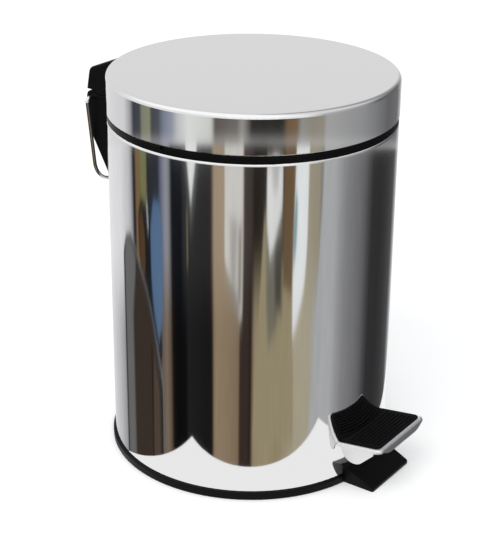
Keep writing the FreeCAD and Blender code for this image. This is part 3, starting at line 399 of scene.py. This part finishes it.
class BIN_OT_finish_steel(bpy.types.Operator):
    """Polished body and pedal, satin lid"""

    bl_idname = "bin.finish_steel"
    bl_label = "Steel sheet finishes"

    def execute(self, context):
        finishes = context.scene.bin_finishes
        tint = tuple(finishes.steel_tint)
        paint(("body_shell",), stainless_sheet("polished_stainless", tint, finishes.sheet_gloss,
                                               ripple_mm=26, depth_mm=0.05))
        paint(("pedal_tray",), stainless_sheet("satin_pedal", tint, roughness=0.32,
                                               ripple_mm=9, depth_mm=0.02))
        paint(("lid_shell",), brushed_lid("satin_stainless", tint, finishes.lid_gloss))
        return {"FINISHED"}


class BIN_OT_finish_hardware(bpy.types.Operator):
    """Drawn steel of the mechanism, chromed wires"""

    bl_idname = "bin.finish_hardware"
    bl_label = "Mechanism and wire finishes"

    def execute(self, context):
        paint(("body_backing_plate", "housing_screws", "hinge_pin", "rod_guides",
               "lever_pivot_pin", "pivot_clips", "lid_backing_plate", "lid_screws",
               "pedal_lever", "lever_rivets", "lift_rod", "rod_push_nuts"),
              drawn_steel("drawn_steel", "c4c4c6", roughness=0.34))
        paint(("carry_handle", "bucket_handle"), chromed_wire("chromed_wire"))
        return {"FINISHED"}


class BIN_OT_finish_plastic(bpy.types.Operator):
    """Moulded black trims and bucket"""

    bl_idname = "bin.finish_plastic"
    bl_label = "Plastic finishes"

    def execute(self, context):
        finishes = context.scene.bin_finishes
        black = tuple(finishes.trim_black)
        paint(("top_collar", "base_pan", "body_hinge_housing", "lid_hinge_housing"),
              moulded_black("moulded_polypropylene", black, roughness=0.38, grain_mm=0.5))
        paint(("inner_bucket",),
              moulded_black("bucket_polypropylene", black, roughness=0.55, grain_mm=0.8))
        return {"FINISHED"}


class BIN_OT_rubber_pad(bpy.types.Operator):
    """Rubber pad with rounded ribs; its rear lip closes the gap to the body"""

    bl_idname = "bin.rubber_pad"
    bl_label = "Pedal pad"

    def execute(self, context):
        finishes = context.scene.bin_finishes
        sizes = context.scene.bin_pad
        low, high = (Vector(corner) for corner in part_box("pedal_pad"))
        slope = math.tan(sizes.tilt)
        half = high.x
        front = Vector((0, low.y, low.z + (high.y - low.y) * slope))
        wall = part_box("body_shell")[1][0] + sizes.lip_gap

        def rear_edge(across):
            return (-math.sqrt(wall ** 2 - across ** 2) - low.y) / math.cos(sizes.tilt)

        shape = pad_base(half, rear_edge, sizes)
        last = rear_edge(0) - sizes.rib_pitch / 2
        for index in range(int((last - sizes.rib_front) / sizes.rib_pitch) + 1):
            add_rib(shape, half - sizes.rib_end, sizes.rib_front + index * sizes.rib_pitch, sizes)
        bmesh.ops.recalc_face_normals(shape, faces=shape.faces)
        place = Matrix.Translation(front) @ Matrix.Rotation(-sizes.tilt, 4, "X")
        bmesh.ops.transform(shape, matrix=place, verts=shape.verts)
        stands_for(new_object("ribbed_pad", shape), "pedal_pad", "pedal",
                   pad_rubber("pressed_rubber", tuple(finishes.rubber_black)))
        return {"FINISHED"}


# ------------------------------------------------------------------------- stage

# What stands round the bin and shows in the steel.  An entry is a heading in
# degrees, to the right of the camera as seen from the bin, and the colour there.
# Colours blend from one entry to the next.  Behind the bin they come back to
# about the first one, so that no seam shows there.  The lid sees the room a
# little higher than the body does.
AROUND_LID = (
    (-176, "d6d6d7"), (-118, "cdcdce"), (-109, "9a9a9d"),       # pale wall
    (-105, "3c3e46"), (-97, "45464a"),                          # door frame
    (-94, "7c7d6c"), (-86, "84856f"),                           # curtain
    (-84, "46484a"), (-77, "4c4e56"), (-72, "767c8c"), (-64, "9094a0"),
    (-59, "bcbdbf"), (-50, "d8d8d6"), (-34, "c8cec6"),          # lit wall
    (-31.5, "c4c2bc"), (-28.8, "57534f"), (-25, "5f5a55"), (-12, "6b6763"),
    (-8, "92908b"), (-1, "2e2b29"), (20, "262422"),
    (23, "35312d"), (26, "6a553f"), (34, "735f49"), (37, "8c8c8c"),
    (44, "8c8579"), (55, "8e887c"),                             # light wood
    (58, "9f9f9f"), (92, "8c8d8d"), (128, "606062"), (150, "6a6a6c"),
    (174, "d6d6d7"),                                            # grey wall
)
AROUND_ABOVE = (
    (-176, "dadadb"), (-128, "d6d6d7"), (-113, "b8b8b9"), (-109.5, "8c8c8e"),
    (-107.5, "20242f"), (-105, "22242b"),                       # door frame
    (-103.5, "7a6042"), (-99, "70603e"), (-96.5, "747450"), (-91.5, "6d6c50"),
    (-90, "2a2c2d"), (-78.5, "2c2e33"),                         # dark coat
    (-77, "54546a"), (-72.5, "83858f"), (-70, "8a8c92"), (-67.5, "6a6a6c"),
    (-66, "17191d"), (-57, "14161a"), (-55, "2d2e2f"),          # dark doorway
    (-31.4, "2b2928"), (-30.0, "9c8a74"), (-7.2, "9f917c"),     # light wood
    (-6.0, "443d3b"), (0, "3a3432"), (2, "252019"), (9, "2a2624"),
    (24, "463c32"), (33, "6a563f"), (34.5, "a09884"),           # linen
    (54.5, "918a78"), (55.7, "5e5b58"), (57.2, "a8a9aa"),       # wall begins
)
AROUND_BELOW = (
    (-176, "d6d6d7"), (-140, "b7b7b9"), (-127, "98989a"), (-124.5, "646464"),
    (-106, "4c4b49"), (-103, "38322e"), (-92, "382c25"), (-84, "2c2320"),
    (-80, "5a4d41"), (-76, "63564a"), (-72, "75675a"), (-67.8, "5a4c3d"),
    (-66, "171411"), (-62, "0c0c0e"), (-53, "0f0f10"), (-52, "1f1e1e"),
    (-32, "171616"), (-30.4, "2a211b"), (-29.2, "8b7963"), (-14, "80705a"),
    (-9.6, "786653"), (-8.4, "342923"), (-2, "362c27"), (-0.5, "231a15"),
    (0.8, "251c16"), (2.2, "8e8068"), (14, "948a6e"), (22, "8c7f63"),
    (36, "a09882"), (49.0, "a19b87"), (51.5, "9fa0a0"), (62, "98999a"),
)
# the wall on the right gets darker away from the window, at every height
FAR_WALL = (
    (57.2, "a6a7a8"), (68, "a3a4a5"), (74, "8e8f90"), (79, "808082"),
    (86, "757577"), (93, "6c6c6e"), (99, "5e5e60"), (104, "494949"), (110, "303031"),
    (122, "2d2d2e"), (134, "363637"), (150, "4c4c4d"), (174, "d8d8d9"),
)
OVERHEAD_LOW = (
    (-176, "d3d3d3"), (-128, "d5d5d5"), (-108, "dfdfdf"), (40, "dfdfdf"),
    (54, "aaaaab"), (92, "8f8f91"), (110, "5e5e60"), (142, "646466"), (168, "d3d3d3"),
)
OVERHEAD_HIGH = (
    (-176, "d3d3d3"), (-132, "d5d5d5"), (-104, "fbfbfb"), (28, "fbfbfb"),
    (58, "d2d2d3"), (104, "cacacb"), (132, "8c8c8d"), (152, "9a9a9b"), (170, "d3d3d3"),
)

# Single things among them: corners, each a heading and a height, the upward part
# of a direction of length 1; the colour; how soft the edge is.  Corners run
# anticlockwise round a convex outline.
THINGS = (
    # glow and lit triangle above the doorway
    (((-56, -0.3165), (-48.5, -0.3785), (-38, -0.3165)), "4c4e4e", 5.0),
    (((-53.5, -0.3165), (-48.6, -0.3605), (-42, -0.3165)), "dde0de", 1.4),
    # edge of the door
    (((-52.6, -0.3615), (-52.4, -0.3995), (-51.0, -0.3995), (-51.2, -0.3615)), "6e5f4e", 0.8),
    # curtain with a blue cloth and the dark back of a chair before it
    (((-102, -0.3645), (-101.5, -0.3885), (-93, -0.4265), (-79, -0.4705), (-76, -0.4485),
      (-84, -0.3865), (-91, -0.3605), (-98, -0.3545)), "1b1c20", 1.0),
    (((-101, -0.3665), (-100.5, -0.3885), (-96, -0.4065), (-93.5, -0.3985), (-93.8, -0.3765),
      (-97.5, -0.3625)), "4e3b27", 1.5),
    (((-87.6, -0.3745), (-87.4, -0.4065), (-85, -0.4275), (-80, -0.4465), (-76.2, -0.4365),
      (-74.4, -0.4065), (-74.6, -0.3745), (-78, -0.3575), (-84, -0.3565)), "536b88", 1.8),
    (((-92.0, -0.3585), (-90.6, -0.3765), (-89.0, -0.3755), (-90.4, -0.3565)), "9a9ea6", 1.0),
    # chair in front: bright upper edge, dark frame, grey and brown panels
    (((-125.3, -0.60), (-76, -0.60), (-76, -0.4695), (-87, -0.4285), (-95, -0.4075),
      (-106, -0.3865), (-113, -0.3765), (-120, -0.3775), (-125.3, -0.3875)), "7e7e80", 0.8),
    (((-125.0, -0.60), (-76.5, -0.60), (-76.5, -0.4725), (-87, -0.431), (-95, -0.41),
      (-106, -0.389), (-113, -0.378), (-120, -0.3785), (-125.0, -0.3885)), "2a2929", 0.8),
    (((-123.2, -0.60), (-106, -0.60), (-106, -0.393), (-113, -0.3815), (-119.5, -0.3815),
      (-123.2, -0.3905)), "646463", 2.5),
    (((-112, -0.60), (-81, -0.60), (-81, -0.4605), (-87, -0.4375), (-95, -0.4155),
      (-106, -0.3945), (-112, -0.4265)), "392f29", 4.0),
    (((-92, -0.60), (-79.5, -0.60), (-79.5, -0.476), (-86, -0.452)), "4c4036", 3.0),
    (((-89, -0.60), (-87.4, -0.60), (-87.4, -0.450), (-89, -0.445)), "231b17", 1.2),
    # sheets of paper on the light wood
    (((-21.3, -0.3165), (-21.3, -0.3955), (-9.5, -0.4335), (-6.9, -0.4305), (-6.9, -0.3165)),
     "c6c4bf", 1.4),
    (((-17.5, -0.3665), (-17.0, -0.4065), (-12.0, -0.4225), (-10.5, -0.3705)), "a09c96", 5.0),
    (((-10.5, -0.3745), (-11.0, -0.4225), (-7.6, -0.4265), (-7.4, -0.3705)), "88847d", 3.0),
    (((-20.5, -0.4005), (-17.0, -0.4185), (-9.0, -0.4345), (-9.0, -0.4205)), "868079", 4.0),
    # linen below the window, from the dark gap to the wall
    (((9.6, -0.3645), (1.6, -0.5065), (36, -0.5065), (33, -0.4145)), "90866b", 1.2),
    (((57.6, -0.3265), (49.4, -0.5065), (60, -0.5065)), "a2a3a3", 1.2),
    # window: dusk below, panes, brown post, bright pane with its teal edge
    (((11.0, -0.3545), (11.5, -0.4265), (14.0, -0.4505), (21.0, -0.4355), (24.0, -0.3815),
      (24.0, -0.3545)), "6a675c", 3.5),
    (((17.0, -0.3845), (18.5, -0.425), (24.6, -0.430), (24.6, -0.3785)), "45433b", 4.0),
    (((11.1, -0.33), (11.2, -0.3725), (14.0, -0.3935), (17.0, -0.3885), (23.6, -0.362),
      (23.6, -0.33)), "d6d7d4", 1.4),
    (((15.0, -0.3265), (15.2, -0.3485), (17.2, -0.3525), (20.5, -0.3485), (20.5, -0.3265)),
     "b4b4b2", 3.0),
    (((24.8, -0.3165), (24.8, -0.4115), (32.2, -0.4165), (33.0, -0.3165)), "65513b", 1.4),
    (((33.9, -0.3165), (32.3, -0.4025), (33.2, -0.4435), (36.5, -0.4365), (42.5, -0.4125),
      (44.4, -0.3865), (44.4, -0.3165)), "dcdfdf", 1.4),
    (((34.2, -0.3485), (32.2, -0.3765), (33.0, -0.4035), (35.4, -0.3885), (36.0, -0.3565)),
     "7d969b", 1.4),
)
HEIGHT_SCALE = 1600.0    # makes a step of height weigh as much as a degree does
CORNER_ROUND = 1.5       # of a thing's outline, in degrees
EDGE_OUTSIDE = 0.4       # share of a soft edge that lies outside the outline
STEEL_REFLECTS = 0.80    # so the colours above are written as they look in the steel

# heights between which one part of the room gives way to the next
ABOVE_TO_BELOW = (-0.3765, -0.4465)
BODY_TO_LID = (-0.3225, -0.3205)
LID_TO_HEM = (-0.312, -0.3205)
LID_TO_OVERHEAD = (-0.272, -0.24)
LOW_TO_HIGH = (0.1, 0.6)
HEM_PALE = "d0d0cf"      # glow of the white sheet in the lid's lowest part
HEM_SHARE = 0.34
WALL_BEGINS = 58.5       # heading

# painted reflection: tall streaks that make the room's colours darker and lighter in the steel
STREAK_SCALE = 0.55
STREAK_STRETCH = (1, 0.06, 1)
STREAK_SHADE = (0.86, 1.14)

EVEN_LIGHT = (0.86, 0.87, 0.88, 1)


def mirrored(hex_colour):
    """Colour of a thing that looks like hex_colour in the steel."""
    return srgb(hex_colour, 1 / STEEL_REFLECTS)


def strip_ramp(tree, factor, strips):
    """Colour ramp round the bin."""
    ramp = add_node(tree, "ShaderNodeValToRGB", links={"Fac": factor})
    elements = ramp.color_ramp.elements
    elements.remove(elements[1])
    for index, (heading, colour) in enumerate(strips):
        place = heading / 360 + 0.5
        element = elements[0] if index == 0 else elements.new(place)
        element.position = place
        element.color = mirrored(colour)
    return ramp.outputs[0]


def eased(tree, source, span):
    """0 before the span's first value, 1 after its second, smooth between."""
    start, end = span
    node = add_node(tree, "ShaderNodeMapRange",
                    {"From Min": start, "From Max": end, "interpolation_type": "SMOOTHSTEP"},
                    {"Value": source})
    return node.outputs[0]


def blended(tree, factor, first, second):
    """Mix of two colours; each of the three is a plain value or a node's output."""
    settings = {"data_type": "RGBA"}
    links = {}
    for socket, value in (("Factor", factor), ("A", first), ("B", second)):
        chosen = links if isinstance(value, bpy.types.NodeSocket) else settings
        chosen[socket] = value
    return add_node(tree, "ShaderNodeMix", settings, links).outputs["Result"]


def depth_inside(tree, chart, corners):
    """How far a direction lies inside a thing's outline, in degrees, corners rounded."""
    points = [Vector((across, up * HEIGHT_SCALE)) for across, up in corners]
    depth = None
    for here, after in zip(points, points[1:] + points[:1]):
        along = (after - here).normalized()
        inward = Vector((-along.y, along.x))
        side = add_node(tree, "ShaderNodeVectorMath",
                        {"operation": "DOT_PRODUCT", 1: (*inward, -inward.dot(here))},
                        {0: chart}).outputs["Value"]
        if depth is not None:
            side = add_node(tree, "ShaderNodeMath", {"operation": "SMOOTH_MIN", 2: CORNER_ROUND},
                            {0: depth, 1: side}).outputs[0]
        depth = side
    return depth


def room_colour(tree, heading):
    """Colour of the surroundings in each direction."""
    place = add_node(tree, "ShaderNodeTexCoord")
    turned = add_node(tree, "ShaderNodeMapping", {"Rotation": (0, 0, -heading)},
                      {"Vector": place.outputs["Generated"]})
    axes = add_node(tree, "ShaderNodeSeparateXYZ", links={0: turned.outputs[0]})
    height = axes.outputs["Z"]
    forward = add_node(tree, "ShaderNodeMath", {"operation": "MULTIPLY", 1: -1.0},
                       {0: axes.outputs["Y"]})
    angle = add_node(tree, "ShaderNodeMath", {"operation": "ARCTAN2"},
                     {0: axes.outputs["X"], 1: forward.outputs[0]})
    degrees = add_node(tree, "ShaderNodeMath", {"operation": "DEGREES"},
                       {0: angle.outputs[0]}).outputs[0]
    share = add_node(tree, "ShaderNodeMath",
                     {"operation": "MULTIPLY_ADD", 1: 1 / 360, 2: 0.5},
                     {0: degrees}).outputs[0]
    room = blended(tree, eased(tree, height, ABOVE_TO_BELOW),
                   strip_ramp(tree, share, AROUND_ABOVE), strip_ramp(tree, share, AROUND_BELOW))

    spread = add_node(tree, "ShaderNodeMath",
                      {"operation": "MULTIPLY", 1: HEIGHT_SCALE}, {0: height})
    chart = add_node(tree, "ShaderNodeCombineXYZ", {"Z": 1.0},
                     {"X": degrees, "Y": spread.outputs[0]}).outputs[0]
    for corners, colour, softness in THINGS:
        edge = (-EDGE_OUTSIDE * softness, (1 - EDGE_OUTSIDE) * softness)
        inside = eased(tree, depth_inside(tree, chart, corners), edge)
        room = blended(tree, inside, room, mirrored(colour))
    on_wall = add_node(tree, "ShaderNodeMath", {"operation": "GREATER_THAN", 1: WALL_BEGINS},
                       {0: degrees})
    room = blended(tree, on_wall.outputs[0], room, strip_ramp(tree, share, FAR_WALL))

    # painted reflection: tall noise streaks scale the reflected room's colours up and down
    tall = add_node(tree, "ShaderNodeVectorMath",
                    {"operation": "MULTIPLY", 1: STREAK_STRETCH}, {0: chart})
    streaks = add_node(tree, "ShaderNodeTexNoise",
                       {"Scale": STREAK_SCALE, "Detail": 3.0, "Roughness": 0.65},
                       {"Vector": tall.outputs[0]})
    painted_streaks = ranged(tree, streaks.outputs[0], *STREAK_SHADE)
    room = add_node(tree, "ShaderNodeVectorMath", {"operation": "SCALE"},
                    {0: room, "Scale": painted_streaks}).outputs[0]

    lid = strip_ramp(tree, share, AROUND_LID)
    hem = blended(tree, HEM_SHARE, lid, mirrored(HEM_PALE))
    lid = blended(tree, eased(tree, height, LID_TO_HEM), lid, hem)
    room = blended(tree, eased(tree, height, BODY_TO_LID), room, lid)
    overhead = blended(tree, eased(tree, height, LOW_TO_HIGH),
                       strip_ramp(tree, share, OVERHEAD_LOW),
                       strip_ramp(tree, share, OVERHEAD_HIGH))
    return blended(tree, eased(tree, height, LID_TO_OVERHEAD), room, overhead)


def set_world(scene, heading):
    """White behind the bin, the room in its steel, an even light on everything else."""
    world = bpy.data.worlds.new("studio")
    scene.world = world
    world.use_nodes = True
    tree = world.node_tree
    tree.nodes.clear()
    path = add_node(tree, "ShaderNodeLightPath")
    light = blended(tree, path.outputs["Is Glossy Ray"], EVEN_LIGHT, room_colour(tree, heading))
    seen = blended(tree, path.outputs["Is Camera Ray"], light, (1, 1, 1, 1))
    back = add_node(tree, "ShaderNodeBackground", {"Strength": 1.0}, {"Color": seen})
    add_node(tree, "ShaderNodeOutputWorld", links={"Surface": back.outputs[0]})


def new_plane(name, low, high, height):
    """Flat rectangle between two corners."""
    shape = bmesh.new()
    bmesh.ops.create_grid(shape, x_segments=1, y_segments=1, size=0.5)
    size = (high[0] - low[0], high[1] - low[1])
    middle = ((high[0] + low[0]) / 2, (high[1] + low[1]) / 2, height)
    bmesh.ops.scale(shape, vec=(size[0], size[1], 1), verts=shape.verts)
    bmesh.ops.translate(shape, vec=middle, verts=shape.verts)
    return new_object(name, shape)


FLOOR_REACH = 4.0
FLOOR_LIFT = 0.22             # lifts the floor's paper to the backdrop's white

# the white sheet the bin stands on, before it is turned to the camera
SHEET_LOW = (-0.100, -0.146)
SHEET_HIGH = (0.138, 0.150)
SHEET_HEIGHT = -0.2 * MM

SOFTBOX_SIZE = (1.2, 1.0)
SOFTBOX_PLACE = (-0.5, -0.9, 1.5)
SOFTBOX_AIM = (0, 0, 0.1)
PICTURE_HEIGHT = 36           # in the lens' millimetres


def add_floor():
    """Pale studio paper that keeps the bin's shadow."""
    floor = new_plane("floor", (-FLOOR_REACH, -FLOOR_REACH), (FLOOR_REACH, FLOOR_REACH), 0)
    material, tree = new_material("studio_floor")
    paper = add_node(tree, "ShaderNodeTexNoise", {"Scale": per_metre(90), "Detail": 2.0},
                     {"Vector": object_point(tree)})
    gloss = ranged(tree, paper.outputs[0], 0.75, 0.9)
    pale = add_node(tree, "ShaderNodeBsdfPrincipled", {"Base Color": srgb("f4f4f4")},
                    {"Roughness": gloss})
    path = add_node(tree, "ShaderNodeLightPath")
    lift = add_node(tree, "ShaderNodeMath", {"operation": "MULTIPLY", 1: FLOOR_LIFT},
                    {0: path.outputs["Is Camera Ray"]})
    glow = add_node(tree, "ShaderNodeEmission", links={"Strength": lift.outputs[0]})
    both = add_node(tree, "ShaderNodeAddShader", links={0: pale.outputs[0], 1: glow.outputs[0]})
    add_node(tree, "ShaderNodeOutputMaterial", links={"Surface": both.outputs[0]})
    floor.data.materials.append(material)
    floor.visible_glossy = False
    return floor


def add_white_sheet(turn):
    """Sheet under the bin that shows in the steel alone."""
    sheet = new_plane("white_sheet", SHEET_LOW, SHEET_HIGH, SHEET_HEIGHT)
    sheet.data.transform(turn)
    material, tree = new_material("white_sheet")
    shine = add_node(tree, "ShaderNodeEmission", {"Color": mirrored("e9e9e9")})
    add_node(tree, "ShaderNodeOutputMaterial", links={"Surface": shine.outputs[0]})
    sheet.data.materials.append(material)
    sheet.visible_camera = False
    sheet.visible_diffuse = False
    sheet.visible_shadow = False
    return sheet


def add_softbox(scene, turn, power):
    """Large soft light above the camera, to its left."""
    light = bpy.data.lights.new("overhead_softbox", "AREA")
    light.shape = "RECTANGLE"
    light.size, light.size_y = SOFTBOX_SIZE
    light.energy = power
    lamp = bpy.data.objects.new("overhead_softbox", light)
    lamp.location = turn @ Vector(SOFTBOX_PLACE)
    lamp.rotation_euler = (Vector(SOFTBOX_AIM) - lamp.location).to_track_quat(
        "-Z", "Y").to_euler()
    lamp.visible_glossy = False
    scene.collection.objects.link(lamp)


def add_camera(scene, turn, stage):
    """Camera that looks down on the bin from the left of its pedal."""
    view = bpy.data.cameras.new("camera")
    view.lens_unit = "MILLIMETERS"
    view.sensor_fit = "VERTICAL"
    view.sensor_height = PICTURE_HEIGHT
    view.lens = stage.lens
    view.shift_x = stage.shift_x
    view.shift_y = stage.shift_y
    camera = bpy.data.objects.new("camera", view)
    scene.collection.objects.link(camera)
    away = Vector((0, -math.cos(stage.pitch), math.sin(stage.pitch))) * stage.distance
    camera.location = turn @ away + Vector((0, 0, stage.aim))
    camera.rotation_euler = (
        turn @ Matrix.Rotation(math.pi / 2 - stage.pitch, 4, "X")
        @ Matrix.Rotation(stage.roll, 4, "Z")).to_euler()
    scene.camera = camera


class BIN_OT_stage(bpy.types.Operator):
    """Pale floor, soft light and the camera"""

    bl_idname = "bin.stage"
    bl_label = "Stage"

    def execute(self, context):
        scene = context.scene
        stage = scene.bin_stage
        turn = Matrix.Rotation(stage.heading, 4, "Z")
        set_world(scene, stage.heading)
        add_floor()
        add_white_sheet(turn)
        add_softbox(scene, turn, stage.softbox)
        add_camera(scene, turn, stage)
        scene.view_settings.view_transform = "Standard"
        return {"FINISHED"}


STEPS = (
    ("finish_steel", BIN_OT_finish_steel),
    ("finish_hardware", BIN_OT_finish_hardware),
    ("finish_plastic", BIN_OT_finish_plastic),
    ("rubber_pad", BIN_OT_rubber_pad),
    ("stage", BIN_OT_stage),
)


class BIN_PT_looks(bpy.types.Panel):
    """Lists the bin's pieces and settings"""

    bl_idname = "BIN_PT_looks"
    bl_label = "Pedal bin"
    bl_space_type = "VIEW_3D"
    bl_region_type = "UI"
    bl_category = "Pedal bin"

    def draw(self, context):
        for _, operator in STEPS:
            self.layout.operator(operator.bl_idname)
        for group in (context.scene.bin_finishes, context.scene.bin_pad,
                      context.scene.bin_stage):
            box = self.layout.box()
            for name in group.bl_rna.properties.keys():
                if name not in ("rna_type", "name"):
                    box.prop(group, name)


GROUPS = (BinFinishes, BinPad, BinStage)
CLASSES = GROUPS + tuple(operator for _, operator in STEPS) + (BIN_PT_looks,)


def register():
    for each in CLASSES:
        bpy.utils.register_class(each)
    bpy.types.Scene.bin_finishes = bpy.props.PointerProperty(type=BinFinishes)
    bpy.types.Scene.bin_pad = bpy.props.PointerProperty(type=BinPad)
    bpy.types.Scene.bin_stage = bpy.props.PointerProperty(type=BinStage)


def unregister():
    del bpy.types.Scene.bin_stage
    del bpy.types.Scene.bin_pad
    del bpy.types.Scene.bin_finishes
    for each in reversed(CLASSES):
        bpy.utils.unregister_class(each)


def main():
    register()
    for name, _ in STEPS:
        getattr(bpy.ops.bin, name)()


if __name__ == "__main__":
    main()
